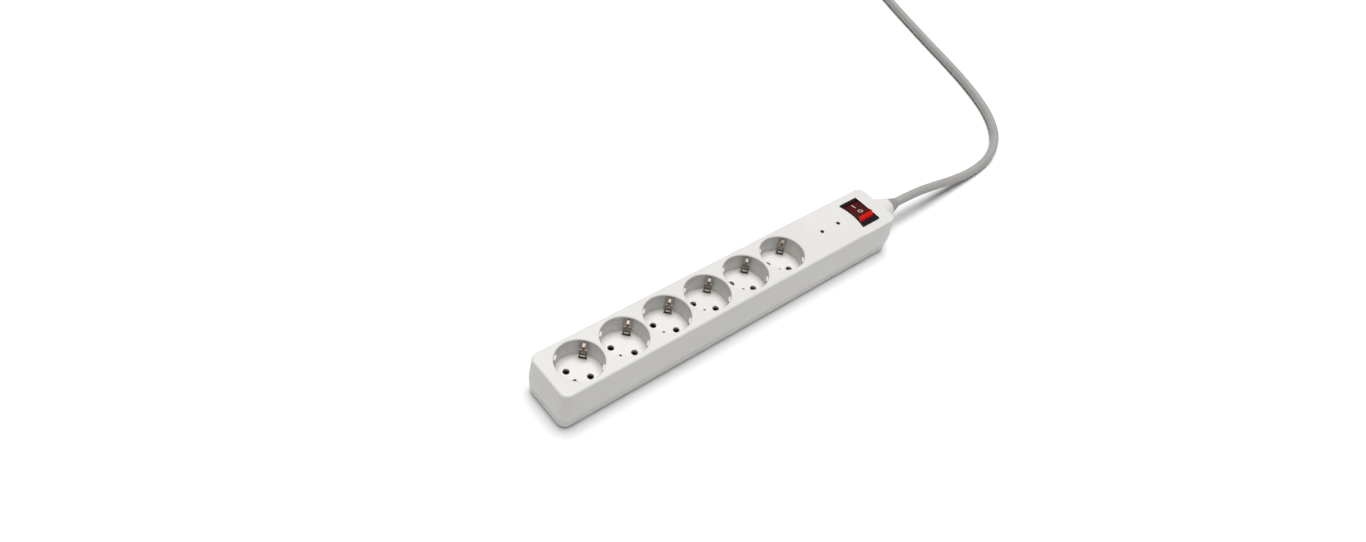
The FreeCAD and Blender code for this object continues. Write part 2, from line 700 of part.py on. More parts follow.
def spring_shape(x):
    """A small open coil spring that stands on a plunger's back, about the rocker's pivot."""
    radius, wire = 1.45, 0.22
    helix = Part.makeHelix(0.9, 2.7, radius)
    helix.translate(Vector(x, 0, -6.75))
    start = Vector(x + radius, 0, -6.75)
    profile = Part.Wire([Part.makeCircle(wire, start, Y_AXIS)])
    return helix.makePipeShell([profile], True, True)


def rocker_parts():
    half = size("pole_gap") / 2
    for node, x in (("live_plunger", -half), ("neutral_plunger", half)):
        stem = Part.makeCylinder(1.95, 3.0, Vector(x, 0, -10))
        nose = Part.makeCone(0.7, 1.95, 1.2, Vector(x, 0, -11.2))
        riding(node, stem.fuse(nose).removeSplitter())
        riding(node + "_spring", spring_shape(x))
    glass = Part.makeCylinder(1.7, 6.2, Vector(0, -8, 0.25), Y_AXIS)
    dome = Part.makeSphere(1.7, Vector(0, -1.8, 0.25))
    riding("neon_lamp", glass.fuse(dome).removeSplitter())
    riding("neon_resistor", Part.makeCylinder(1.05, 5.5, Vector(0, 2.6, 0.9), Y_AXIS))


def contacts_in_switch():
    for pole, x in (("live", "live_x"), ("neutral", "neutral_x")):
        blade_foot = "case_foot - blade_reach"
        switched_tall = "lever_height - anvil_drop - 0.8 - case_foot + blade_reach"
        common_tall = "lever_height - saddle_drop - 0.2 - case_foot + blade_reach"
        common_tab = box(
            f"{pole}_common_tab", "blade_metal", "blade_width", common_tall,
            x, "rocker_shift", blade_foot,
        )
        saddle = box(
            f"{pole}_saddle", "4.4", "1.6", "0.8",
            x, "rocker_shift", "lever_height - saddle_drop - 0.8",
        )
        part(f"{pole}_common_blade", fuse(f"{pole}_common_blade", [common_tab, saddle]))
        switched_tab = box(
            f"{pole}_switched_tab", "blade_metal", "blade_width", switched_tall,
            x, "rocker_shift - 9", blade_foot,
        )
        anvil = box(
            f"{pole}_anvil", "4", "4", "0.8",
            x, "rocker_shift - 8.5", "lever_height - anvil_drop - 0.8",
        )
        part(f"{pole}_switched_blade", fuse(f"{pole}_switched_blade", [switched_tab, anvil]))
        lever = fuse(
            f"{pole}_lever",
            [
                box(f"{pole}_beam", "4.8", "18", "0.9", "0", "-0.5", "-0.2"),
                cylinder(f"{pole}_button", "1.7", "0.8", "0", "-8", "-0.9"),
                cylinder(f"{pole}_pivot", "lever_pivot_radius", "4.8", "-2.4", "0", "0", X_AXIS),
            ],
        )
        tilt = FreeCAD.Rotation(X_AXIS, size("lever_tilt"))
        lever.Placement = FreeCAD.Placement(Vector(size(x), size("rocker_shift"), size("lever_height")), tilt)
        part(f"{pole}_contact_lever", lever)


# ---- surge board and indicator lamps ----
def board():
    top = "board_height + board_metal"
    part(
        "surge_board",
        box("surge_board", "board_length", "board_width", "board_metal", "board_middle", "0", "board_height"),
    )
    for index, x in enumerate(("lamp_1 - 9", "lamp_1 + 6.8", "lamp_1 + 13")):
        disc = cylinder(
            f"disc_{index}", "varistor_radius", "varistor_thick", f"{x} - varistor_thick / 2", "0",
            f"{top} + 2 + varistor_radius", X_AXIS,
        )
        legs = [
            cylinder(f"leg_{index}_{side}", "0.4", "6", x, y, top)
            for side, y in (("a", "3.5"), ("b", "-3.5"))
        ]
        part(f"varistor_{index + 1}", fuse(f"varistor_{index + 1}", [disc] + legs))
    fuse_body = cylinder("fuse_body", "1.9", "10", "lamp_1 - 14", "-5", f"{top} + 1.9", Y_AXIS)
    part("thermal_fuse", fuse_body)
    for index, x in enumerate(("lamp_1", "lamp_2")):
        foot = "core_top - 0.8 - lamp_tall"
        bulb = cylinder(f"bulb_{index}", "lamp_radius", "lamp_tall - 1.2", x, "0", foot)
        tip = cone(f"bulb_tip_{index}", "lamp_radius", "1.3", "1.2", x, "0", "core_top - 0.8 - 1.2")
        leads = [
            cylinder(f"lead_{index}_{side}", "0.35", f"{foot} - ({top}) + 1", x, y, top)
            for side, y in (("a", "1.3"), ("b", "-1.3"))
        ]
        part(f"indicator_lamp_{index + 1}", fuse(f"indicator_lamp_{index + 1}", [bulb, tip] + leads))
        lens = cylinder(f"lens_pin_{index}", "lamp_hole / 2 - 0.05", "roof - 0.7", x, "0", "core_top")
        collar = cylinder(f"lens_collar_{index}", "lamp_hole / 2 + 0.9", "0.6", x, "0", "core_top - 0.6")
        part(f"indicator_lens_{index + 1}", fuse(f"indicator_lens_{index + 1}", [lens, collar]))
        beside = f"lamp_2 + {3 + 3.2 * index}"
        resistor = cylinder(f"resistor_{index}", "1.2", "6.5", beside, "-3.25", f"{top} + 1.2", Y_AXIS)
        part(f"lamp_resistor_{index + 1}", resistor)


# ---- inner wiring, cord clamp and strain relief ----
def wiring():
    height, start = size("cord_height"), size("jacket_start")
    fall = start - 3.4
    live, neutral = size("live_x"), size("neutral_x")
    face = size("blade_metal") / 2
    run = size("floor") + 4.6
    low = size("floor") + 2.0
    bar_end, bar_line = size("bar_end"), size("bar_line")
    join = size("case_foot") - 7.5
    way = live + 2.6
    middle = size("switch_x") + 0.4
    part(
        "live_lead",
        inner_wire(
            "live_lead",
            [
                (start, -2.4, height + 1), (fall, -2.4, height + 1), (fall, -4.6, height - 7),
                (fall, -4.6, run), (way, -4.4, run), (way, 0, join), (live + face, 0, join),
            ],
        ),
    )
    part(
        "neutral_lead",
        inner_wire(
            "neutral_lead",
            [
                (start, 2.4, height + 1), (fall, 2.4, height + 1), (fall, 4.6, height - 7),
                (fall - 3.4, 4.6, join), (neutral + 3.6, 0, join), (neutral + face, 0, join),
            ],
        ),
    )
    end = size("last_socket") + 12
    part(
        "earth_lead",
        inner_wire(
            "earth_lead",
            [
                (start, 0, height - 2.4), (fall, 0, height - 2.4), (fall, 0, low), (fall - 22, 5.6, low),
                (size("board_middle"), 5.6, low + 0.1), (end + 10, 5.6, low), (end, 0, low + 2),
                (end, 0, size("earth_bar_foot")),
            ],
        ),
    )
    link = "live_x - blade_metal / 2 - bar_end"
    part(
        "live_link",
        cylinder("live_link", "core_radius", link, "bar_end", "-bar_line", "bar_foot + 5", X_AXIS),
    )
    part(
        "neutral_link",
        inner_wire(
            "neutral_link",
            [
                (neutral - face, -9, join + 2), (middle, -9, join + 2), (middle, bar_line, join + 2),
                (bar_end + 4, bar_line, join + 1), (bar_end, bar_line, join + 1),
            ],
        ),
    )


def cord_entry():
    axis = ("0", "cord_height", X_AXIS)
    sleeve = cylinder("relief_sleeve", "neck_bore / 2 - 0.05", "neck_reach - 2", "end_x + 2", *axis)
    skirt = cone(
        "relief_skirt", "relief_root_radius", "relief_tip_radius", "relief_reach", "neck_end", *axis
    )
    bore = cylinder("relief_bore", "cord_diameter / 2", "60", "end_x - 20", "0", "cord_height", X_AXIS)
    part("strain_relief", cut("strain_relief", fuse("relief_blank", [sleeve, skirt]), [bore]))
    tail = "relief_tip - jacket_start"
    part("cord_tail", cylinder("cord_tail", "cord_diameter / 2", tail, "jacket_start", *axis))
    bar = box("clamp_bar", "clamp_length", "clamp_width", "clamp_tall", "clamp_x", "0", "clamp_foot")
    groove = cylinder("clamp_groove", "cord_diameter / 2", "20", "clamp_x - 10", "0", "cord_height", X_AXIS)
    ways = []
    screws = []
    for index, y in enumerate(CLAMP_LINES):
        way = cylinder(f"clamp_way_{index}", "screw_radius + 0.2", "20", "clamp_x", y, "clamp_foot - 5")
        ways.append(way)
        screws.append(screw(f"clamp_screw_{index}", "clamp_x", y, "clamp_foot", "clamp_tall + 7"))
    part("cord_clamp", cut("cord_clamp", bar, [groove] + ways))
    part("clamp_screws", group("clamp_screws", screws))


# ---- cord, coil and plug ----
def cord_tube(name, points):
    """A tube along straight runs joined by the largest tangent arcs that the runs allow."""
    line = [Vector(*p) for p in points]
    radii = []
    for index in range(1, len(line) - 1):
        into = line[index] - line[index - 1]
        out = line[index + 1] - line[index]
        shorter = min(into.Length, out.Length)
        radii.append(0.45 * shorter / math.tan(into.getAngle(out) / 2))
    wire = rounded_wire(line, radii)
    radius = size("cord_diameter") / 2
    solid = tube(wire, radius)
    print(name, "length", round(wire.Length, 1), "radii", [round(r) for r in radii])
    plain_volume = math.pi * radius ** 2 * wire.Length
    print(name, "volume over section times length", round(solid.Volume / plain_volume, 4))
    return part(name, shaped(name, solid))


def cord():
    radius = size("cord_diameter") / 2
    rest = radius + size("floor_gap")
    height = size("cord_height")
    cord_tube(
        "cord",
        [
            (size("relief_tip"), 0, height), (225, 0, height), (262, 0, 17.2), (298, 0, 8.8),
            (334, 1, rest), (366, 6, rest), (398, 22, rest), (424, 51, rest), (444, 92, rest),
            (459, 138, rest), (472, 185, rest), (486, 233, rest), (504, 289, rest), (527, 345, rest),
        ],
    )
    upper = rest + size("coil_spacing") * math.sin(math.radians(60))
    x, y = size("coil_x"), size("plug_axis_y")
    axis = size("plug_radius")
    cord_tube(
        "cord_plug_end",
        [
            (x, y, upper), (x - 14, y, upper), (x - 27, y, axis),
            (size("plug_back") + size("plug_relief_length"), y, axis),
        ],
    )
    outer = "coil_radius + coil_spacing / 2 + cord_diameter / 2"
    inner = "coil_radius - coil_spacing / 2 - cord_diameter / 2"
    tall = "cord_diameter + coil_spacing * 0.866"
    ring = cylinder("ring_outer", outer, tall, "coil_x", "coil_y", "floor_gap")
    hole = cylinder("ring_inner", inner, "50", "coil_x", "coil_y", "-5")
    part("cord_coil", cut("cord_coil", ring, [hole]))
    section = f"({outer} - ({inner}))"
    band = box(
        "tie_block", "tie_width", f"{section} + tie_slack + 2 * tie_metal", f"{tall} + tie_metal + floor_gap",
        "coil_x", "coil_y - coil_radius", "0",
    )
    gap = box(
        "tie_room", "tie_width + 2", f"{section} + tie_slack", tall,
        "coil_x", "coil_y - coil_radius", "floor_gap",
    )
    part("coil_tie", cut("coil_tie", band, [gap]))


def plug():
    axis = -X_AXIS
    y, z = "plug_axis_y", "plug_radius"
    relief = cone(
        "plug_relief_cone", "cord_diameter / 2 + 0.9", "8", "plug_relief_length",
        "plug_back + plug_relief_length", y, z, axis,
    )
    part("plug_relief", relief)
    grip = cone("plug_grip", "11.5", "15.5", "plug_length - 22", "plug_back", y, z, axis)
    head = cylinder("plug_head", "plug_radius", "22", "plug_face + 22", y, z, axis)
    flats = [
        box(f"plug_flat_{side}", "17", "9", "3", "plug_face + 8", y, level)
        for side, level in (("up", "2 * plug_radius - 2.2"), ("down", "-0.8"))
    ]
    keys = []
    for side, sign in (("a", "+"), ("b", "-")):
        edge = f"{y} {sign} (plug_radius - 0.9)"
        keys.append(box(f"plug_key_{side}", "17", "3", "5", "plug_face + 8", edge, f"{z} - 2.5"))
    part("plug_body", cut("plug_body", fuse("plug_blank", [grip, head]), flats + keys))
    pins = []
    for side, sign in (("a", "+"), ("b", "-")):
        line = f"{y} {sign} pin_spacing / 2"
        pins.append(
            cylinder(f"plug_pin_{side}", "pin_diameter / 2", "plug_pin_length", "plug_face", line, z, axis)
        )
    part("plug_pins", group("plug_pins", pins))
    contacts = [
        box(f"plug_contact_{side}", "15", "6", "0.8", "plug_face + 8", y, level)
        for side, level in (("up", "2 * plug_radius - 2.2"), ("down", "1.4"))
    ]
    part("plug_earth_contacts", group("plug_earth_contacts", contacts))


housing()
fixings()
bars()
earth_clips()
switch_case()
rocker()
rocker_parts()
contacts_in_switch()
board()
wiring()
cord_entry()
cord()
plug()
doc.recompute()

for thing in doc.Objects:
    if "Invalid" in thing.State or "Error" in thing.State:
        raise RuntimeError(f"{thing.Name} failed: {thing.State}")
labels = [thing.Label for thing in PARTS]
if len(set(labels)) != len(labels):
    raise RuntimeError("two sub-parts share a name")
os.makedirs("parts", exist_ok=True)
for thing in PARTS:
    shape = thing.Shape
    if shape.isNull() or not shape.isValid() or not shape.Solids:
        raise RuntimeError(f"{thing.Label} has no valid solid")
    shape.exportStep(os.path.join("parts", thing.Label + ".step"))
print(len(PARTS), "sub-parts written")
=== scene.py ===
# %% [markdown]
# # A socket strip, dressed for the studio
# The strip's hard pieces come from CAD and are not touched: their shapes, sizes and places are settled.
# This script gives each of them a surface, lays the mains lead as one smooth curve, winds its spare
# length, finishes the plug, and sets up a pale floor, soft light and a camera.

# %% Load the fixed frame
import math

import bmesh
import bpy
from mathutils import Matrix, Vector


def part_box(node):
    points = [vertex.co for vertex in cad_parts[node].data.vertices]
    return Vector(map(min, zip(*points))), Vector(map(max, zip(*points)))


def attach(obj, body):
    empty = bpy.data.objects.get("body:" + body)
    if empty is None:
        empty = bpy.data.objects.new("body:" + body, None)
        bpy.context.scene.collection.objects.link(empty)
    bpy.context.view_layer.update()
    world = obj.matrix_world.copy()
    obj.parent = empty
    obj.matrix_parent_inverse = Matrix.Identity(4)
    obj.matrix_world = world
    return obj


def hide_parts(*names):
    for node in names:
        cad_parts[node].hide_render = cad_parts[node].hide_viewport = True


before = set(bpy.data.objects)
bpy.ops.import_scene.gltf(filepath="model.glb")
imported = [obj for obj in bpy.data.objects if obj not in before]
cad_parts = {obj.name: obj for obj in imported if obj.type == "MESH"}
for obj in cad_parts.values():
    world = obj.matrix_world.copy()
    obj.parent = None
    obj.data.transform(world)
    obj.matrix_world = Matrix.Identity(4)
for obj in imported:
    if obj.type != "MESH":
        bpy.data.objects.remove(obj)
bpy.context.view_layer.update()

# %% [markdown]
# ## Camera
# A product shot of a long low object is taken from above one corner, so that every socket shows its
# floor. The camera is turned a little about its own line of sight as well, which lifts the far end.
# A matrix built from the three directions holds that roll exactly, where aiming with a Track To
# constraint would level it.

# %% Place the camera
VIEW_RIGHT = Vector((0.76658658, -0.62744724, 0.13658321))
VIEW_DOWN = Vector((-0.38820026, -0.62225939, -0.67977482))
VIEW_AHEAD = Vector((0.51151302, 0.46808462, -0.72059088))
CAMERA_PLACE = Vector((-0.46571, -0.35865, 0.63715))

camera_data = bpy.data.cameras.new("camera")
camera_data.lens = 26.354
camera_data.sensor_width = 36
camera = bpy.data.objects.new("camera", camera_data)
turn = Matrix((VIEW_RIGHT, -VIEW_DOWN, -VIEW_AHEAD)).transposed()
camera.matrix_world = Matrix.Translation(CAMERA_PLACE) @ turn.to_4x4()
bpy.context.scene.collection.objects.link(camera)
bpy.context.scene.camera = camera
print("camera", [round(v, 3) for v in camera.location])

# %% [markdown]
# ## The mains lead
# A three-core lead with a thick sheath is springy: it leaves the strip level, sags to the floor within
# about fifteen diameters and then lies in wide curves. It is one NURBS curve from the strain relief to
# the plug, so there is no joint to hide, and the curve's round bevel gives it its thickness. A row of
# straight tubes would show a kink at every corner, and a mesh swept by hand would be harder to edit.
# The spare length is wound into a flat ring of three turns, two side by side and one on top of them.

# %% Route the lead along the floor
MM = 0.001
CORD_RADIUS = 4.3 * MM
CORD_REST = 4.4 * MM
CORD_EXIT_HEIGHT = 24 * MM
gland_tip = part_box("strain_relief")[1][0]
ROUTE = [
    (225, 0, 24), (262, 0, 17.2), (298, 0, 8.8),
    (334, 1, 4.4), (366, 6, 4.4), (398, 22, 4.4), (424, 51, 4.4), (444, 92, 4.4),
    (459, 138, 4.4), (472, 185, 4.4), (486, 233, 4.4), (504, 289, 4.4),
]
route = [Vector((gland_tip, 0, CORD_EXIT_HEIGHT))] + [Vector(p) * MM for p in ROUTE]
print("lead lies along", len(route), "points")

# %% Wind the spare length into a ring
coil_low, coil_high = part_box("cord_coil")
COIL_CENTRE = (Vector(coil_low) + Vector(coil_high)) / 2
COIL_RADIUS = 43 * MM
TURN_SPACING = 8.8 * MM
ROW_RISE = TURN_SPACING * math.sin(math.radians(60))
POINTS_PER_TURN = 16
GOES_INWARD_AT, GOES_UP_AT, CHANGE_OVER = 0.72, 1.72, 0.3


def smooth_step(t):
    t = min(max(t, 0), 1)
    return t * t * (3 - 2 * t)


def coil_point(turns):
    """The line of the winding: an outer turn, an inner turn, then one on top that ends at the plug side."""
    angle = 2 * math.pi * turns
    inward = smooth_step((turns - GOES_INWARD_AT) / CHANGE_OVER)
    upward = smooth_step((turns - GOES_UP_AT) / CHANGE_OVER)
    radius = COIL_RADIUS + TURN_SPACING * (0.5 - inward + 0.5 * upward)
    height = CORD_REST + ROW_RISE * upward
    x = COIL_CENTRE.x + radius * math.cos(angle)
    y = COIL_CENTRE.y + radius * math.sin(angle)
    return Vector((x, y, height))


COIL_START = -0.02
COIL_TURNS = 3.25
steps = round((COIL_TURNS - COIL_START) * POINTS_PER_TURN)
winding = []
for step in range(steps + 1):
    winding.append(coil_point(COIL_START + (COIL_TURNS - COIL_START) * step / steps))
print("ring of", round(COIL_TURNS - COIL_START, 2), "turns")

# %% Bring the free end off the ring to the plug
plug_entry_low, plug_entry_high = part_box("plug_relief")
plug_y = (plug_entry_low[1] + plug_entry_high[1]) / 2
plug_z = (plug_entry_low[2] + plug_entry_high[2]) / 2
plug_entry = Vector((plug_entry_high[0], plug_y, plug_z))
ring_top = winding[-1]
way_off = [
    Vector((plug_entry.x + 27 * MM, plug_y, ring_top.z + 0.6 * MM)),
    Vector((plug_entry.x + 13 * MM, plug_y, plug_z - 0.5 * MM)),
    plug_entry,
]


def smooth_cord(name, points, radius):
    """A round cord: a curve of order three that runs from its first point to its last.

    Its thickness is in the points' own radius, because a curve's box is drawn that far round its points.
    """
    curve = bpy.data.curves.new(name, "CURVE")
    curve.dimensions = "3D"
    curve.resolution_u = 12
    curve.bevel_depth = 1
    curve.bevel_resolution = 6
    curve.use_fill_caps = True
    spline = curve.splines.new("NURBS")
    spline.points.add(len(points) - 1)
    for point, place in zip(spline.points, points):
        point.co = (*place, 1)
        point.radius = radius
    spline.order_u = 3
    spline.use_endpoint_u = True
    cord = bpy.data.objects.new(name, curve)
    bpy.context.scene.collection.objects.link(cord)
    return cord


mains_lead = smooth_cord("mains_lead", route + winding + way_off, CORD_RADIUS)


def polyline_length(points):
    return sum((b - a).length for a, b in zip(points, points[1:]))


print("control line", round(polyline_length(route + winding + way_off), 3), "m")

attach(mains_lead, "housing")
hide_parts("cord", "cord_coil", "cord_plug_end")

# %% [markdown]
# ## Surfaces: one small kit for every finish
# Moulded plastic, plated brass and rubber differ in a few numbers: how rough they are, how their colour
# drifts, and how fine their grain is. One helper makes a material with a noise-driven colour and
# roughness and a fine bump, so each finish below only says what is its own. Object coordinates are used,
# in metres, because the CAD pieces have no unwrapped faces.

# %% A helper that wires up a finish
def new_material(name):
    material = bpy.data.materials.new(name)
    material.use_nodes = True
    return material, material.node_tree.nodes, material.node_tree.links


def noise(nodes, links, coordinates, scale, detail=3.0, roughness=0.5):
    texture = nodes.new("ShaderNodeTexNoise")
    texture.inputs["Scale"].default_value = scale
    texture.inputs["Detail"].default_value = detail
    texture.inputs["Roughness"].default_value = roughness
    links.new(coordinates, texture.inputs["Vector"])
    return texture.outputs["Fac"]


def drift(nodes, links, factor, low, high):
    """A colour that moves between two close shades."""
    ramp = nodes.new("ShaderNodeValToRGB")
    ramp.color_ramp.elements[0].position = 0.3
    ramp.color_ramp.elements[0].color = (*low, 1)
    ramp.color_ramp.elements[1].position = 0.7
    ramp.color_ramp.elements[1].color = (*high, 1)
    links.new(factor, ramp.inputs["Fac"])
    return ramp.outputs["Color"]


def spread(nodes, links, factor, low, high):
    """Maps a 0 to 1 factor onto a range."""
    mapping = nodes.new("ShaderNodeMapRange")
    mapping.inputs["To Min"].default_value = low
    mapping.inputs["To Max"].default_value = high
    links.new(factor, mapping.inputs["Value"])
    return mapping.outputs["Result"]


def grain_bump(nodes, links, shader, height, strength, distance):
    bump = nodes.new("ShaderNodeBump")
    bump.inputs["Strength"].default_value = strength
    bump.inputs["Distance"].default_value = distance
    links.new(height, bump.inputs["Height"])
    links.new(bump.outputs["Normal"], shader.inputs["Normal"])


def finish(name, low, high, rough, patch=30, grain=1500, depth=0.00003, strength=0.35, metal=0.0, **extra):
    """A material: two close shades, a roughness range, and a fine grain."""
    material, nodes, links = new_material(name)
    shader = nodes["Principled BSDF"]
    place = nodes.new("ShaderNodeTexCoord").outputs["Object"]
    patches = noise(nodes, links, place, patch)
    links.new(drift(nodes, links, patches, low, high), shader.inputs["Base Color"])
    smudges = noise(nodes, links, place, patch * 4, detail=5)
    links.new(spread(nodes, links, smudges, *rough), shader.inputs["Roughness"])
    grain_bump(nodes, links, shader, noise(nodes, links, place, grain), strength, depth)
    shader.inputs["Metallic"].default_value = metal
    for socket, value in extra.items():
        shader.inputs[socket.replace("_", " ")].default_value = value
    return material


def dress(material, *names):
    """Gives a CAD piece its finish through its own material slots."""
    for name in names:
        slots = bpy.data.objects[name].material_slots
        for slot in slots:
            slot.material = material
    print(material.name, "on", ", ".join(names))


# %% [markdown]
# ## White housing
# The two shells are moulded in white ABS. Its colour is almost even, but the surface has a fine eroded
# grain that keeps highlights wide, and handling leaves faint smoother patches. An image texture could
# show both, but noise needs no unwrapping and holds up at any distance.

# %% White plastic
white_abs = finish(
    "white_abs", (0.725, 0.713, 0.69), (0.765, 0.753, 0.73), (0.36, 0.48),
    patch=18, grain=2600, depth=0.00002, strength=0.3, Specular_IOR_Level=0.45,
)
dress(white_abs, "top_cover", "base_cover", "cord_clamp", "plug_body", "plug_relief")

# %% [markdown]
# ## Strain relief and lead
# Both are soft PVC: duller and greyer than the housing, with a coarser grain. They differ only in shade,
# because the gland is a separate moulding in a darker grey. The same helper makes both.

# %% Grey gland and sheath
gland_grey = finish(
    "gland_grey", (0.31, 0.30, 0.285), (0.35, 0.34, 0.325), (0.42, 0.55), patch=60, grain=1800, depth=0.00004,
)
dress(gland_grey, "strain_relief")

sheath_pvc = finish(
    "sheath_pvc", (0.38, 0.37, 0.355), (0.42, 0.41, 0.395), (0.38, 0.5), patch=40, grain=1400, depth=0.00004,
)
dress(sheath_pvc, "cord_tail")
mains_lead.data.materials.append(sheath_pvc)

# %% [markdown]
# ## Metals
# The earth clips are nickel over brass, tarnished to a warm dark grey. The current-carrying strips are
# plain stamped brass, and the screws are zinc plated. The first two show fine drawn lines. Anisotropic
# shading could suggest them, but a noise stretched along one axis also survives a close look.

# %% Plated and plain metals
LINE_SCALE, TARNISH_SCALE = 900, 160
LINE_STRENGTH, LINE_DEPTH = 0.25, 0.03 * MM


def drawn_metal(name, low, high, rough, stretch):
    """A metal with fine lines along one axis."""
    material, nodes, links = new_material(name)
    shader = nodes["Principled BSDF"]
    place = nodes.new("ShaderNodeTexCoord").outputs["Object"]
    squeeze = nodes.new("ShaderNodeMapping")
    squeeze.inputs["Scale"].default_value = stretch
    links.new(place, squeeze.inputs["Vector"])
    lines = noise(nodes, links, squeeze.outputs["Vector"], LINE_SCALE)
    tarnish = noise(nodes, links, place, TARNISH_SCALE, detail=5)
    links.new(drift(nodes, links, tarnish, low, high), shader.inputs["Base Color"])
    links.new(spread(nodes, links, lines, *rough), shader.inputs["Roughness"])
    grain_bump(nodes, links, shader, lines, LINE_STRENGTH, LINE_DEPTH)
    shader.inputs["Metallic"].default_value = 1.0
    return material


nickel = drawn_metal("nickel_plate", (0.09, 0.07, 0.055), (0.24, 0.20, 0.16), (0.30, 0.5), (1, 1, 0.08))
brass = drawn_metal("stamped_brass", (0.52, 0.36, 0.15), (0.70, 0.52, 0.25), (0.25, 0.45), (0.08, 1, 1))
zinc = drawn_metal("zinc_screws", (0.48, 0.48, 0.48), (0.62, 0.62, 0.61), (0.25, 0.4), (1, 1, 1))

dress(
    nickel, *[f"earth_clip_{number}" for number in range(1, 7)],
    "plug_pins", "plug_earth_contacts", "earth_bar",
)
dress(
    brass, "live_bar", "neutral_bar", "live_plunger", "neutral_plunger", "live_contact_lever",
    "neutral_contact_lever", "live_common_blade", "neutral_common_blade", "live_switched_blade",
    "neutral_switched_blade",
)
dress(zinc, "housing_screws", "clamp_screws", "live_plunger_spring", "neutral_plunger_spring")

# %% [markdown]
# ## Switch
# The bezel is polished black plastic. The rocker is clear red plastic with a neon lamp under it. Its broad
# top keeps a dark red, and its thin ends get a painted brighter red and a painted glow, standing in for light
# gathering in them.
# The direction a face looks in, measured in the rocker's own axes, tells the two apart, and keeps doing so as
# it tips.

# %% Black bezel and red rocker
bezel_black = finish(
    "bezel_black", (0.008, 0.008, 0.009), (0.014, 0.014, 0.015), (0.12, 0.26), patch=90, grain=2400,
    depth=0.00001, Specular_IOR_Level=0.35,
)
dress(bezel_black, "switch_case", "switch_base")

rocker_red = finish(
    "rocker_red", (0.060, 0.008, 0.006), (0.085, 0.010, 0.007), (0.12, 0.2), patch=120, grain=2200,
    depth=0.00001, Specular_IOR_Level=0.2,
)


# Face directions over which the rocker's end faces fade into the painted glow and painted brighter red.
BROAD_FACE, END_FACE = 0.42, 0.62
GLOW_STRENGTH = 0.22


def paint_glow_on_ends(material, glow):
    """Paints a brighter red and a red glow onto the faces that look along the rocker's travel, its thin ends:
    painted glow, picked by face direction.
    """
    nodes, links = material.node_tree.nodes, material.node_tree.links
    shader = nodes["Principled BSDF"]
    normal = nodes.new("ShaderNodeSeparateXYZ")
    links.new(nodes.new("ShaderNodeTexCoord").outputs["Normal"], normal.inputs["Vector"])
    along = nodes.new("ShaderNodeMath")
    along.operation = "ABSOLUTE"
    links.new(normal.outputs["Y"], along.inputs[0])
    # Mask of the end faces that get the painted glow and painted brighter red.
    thin = nodes.new("ShaderNodeMapRange")
    thin.inputs["From Min"].default_value = BROAD_FACE
    thin.inputs["From Max"].default_value = END_FACE
    links.new(along.outputs["Value"], thin.inputs["Value"])
    mix = nodes.new("ShaderNodeMix")
    mix.data_type = "RGBA"
    links.new(thin.outputs["Result"], mix.inputs["Factor"])
    links.new(shader.inputs["Base Color"].links[0].from_socket, mix.inputs["A"])
    mix.inputs["B"].default_value = glow
    links.new(mix.outputs["Result"], shader.inputs["Base Color"])
    # This emission is a painted glow on the end faces, not a lamp.
    painted_glow_emission = nodes.new("ShaderNodeMath")
    painted_glow_emission.operation = "MULTIPLY"
    painted_glow_emission.inputs[1].default_value = GLOW_STRENGTH
    links.new(thin.outputs["Result"], painted_glow_emission.inputs[0])
    links.new(painted_glow_emission.outputs["Value"], shader.inputs["Emission Strength"])
    shader.inputs["Emission Color"].default_value = glow


# The rocker's end faces get a painted glow and a painted brighter red.
paint_glow_on_ends(rocker_red, (0.75, 0.012, 0.008, 1))
dress(rocker_red, "rocker")

# %% [markdown]
# ## Small electrical pieces
# They sit inside the housing, seen only through the holes, or with the covers off. Each gets the plain
# finish that such a part has: dipped epoxy, lacquer, coloured core insulation, laminate and glass.

# %% Inner pieces
CLOTHES = [
    (
        ("lens_smoke", (0.020, 0.018, 0.016), (0.035, 0.03, 0.028), (0.1, 0.2)),
        ("indicator_lens_1", "indicator_lens_2"),
    ),
    (
        ("lamp_red", (0.45, 0.05, 0.03), (0.60, 0.07, 0.04), (0.1, 0.2)),
        ("indicator_lamp_1", "indicator_lamp_2"),
    ),
    (("board_brown", (0.30, 0.21, 0.08), (0.38, 0.27, 0.11), (0.3, 0.5)), ("surge_board",)),
    (
        ("varistor_blue", (0.02, 0.09, 0.34), (0.03, 0.12, 0.42), (0.25, 0.4)),
        ("varistor_1", "varistor_2", "varistor_3"),
    ),
    (
        ("resistor_tan", (0.55, 0.44, 0.28), (0.66, 0.54, 0.36), (0.3, 0.5)),
        ("neon_resistor", "lamp_resistor_1", "lamp_resistor_2", "thermal_fuse"),
    ),
    (("core_brown", (0.16, 0.06, 0.02), (0.21, 0.08, 0.03), (0.3, 0.45)), ("live_lead", "live_link")),
    (("core_blue", (0.02, 0.08, 0.38), (0.03, 0.11, 0.46), (0.3, 0.45)), ("neutral_lead", "neutral_link")),
    (("core_green", (0.12, 0.32, 0.04), (0.48, 0.50, 0.05), (0.3, 0.45)), ("earth_lead",)),
    (("neon_glass", (0.85, 0.42, 0.25), (0.9, 0.5, 0.3), (0.03, 0.08)), ("neon_lamp",)),
    (("tie_black", (0.02, 0.02, 0.02), (0.03, 0.03, 0.03), (0.4, 0.6)), ("coil_tie",)),
]
for recipe, wearers in CLOTHES:
    dress(finish(*recipe), *wearers)

# %% [markdown]
# ## Marks on the rocker
# The two halves carry the usual line and circle, pad-printed in white. Printed marks have almost no
# height, so each is a thin solid that stands 0.05 mm proud of the face it is on and rides with the
# rocker. They are built in the rocker's own level frame and then tipped with it.

# %% Line and circle
ROCKER_PIVOT = Vector((143.6, 1.2, 35.6)) * MM
ROCKER_TILT = math.radians(-11.5)
FACE_SLOPE = math.radians(6)
FACE_HEIGHT = 5.25 * MM
PRINT_LOW, PRINT_HIGH = -0.2 * MM, 0.05 * MM


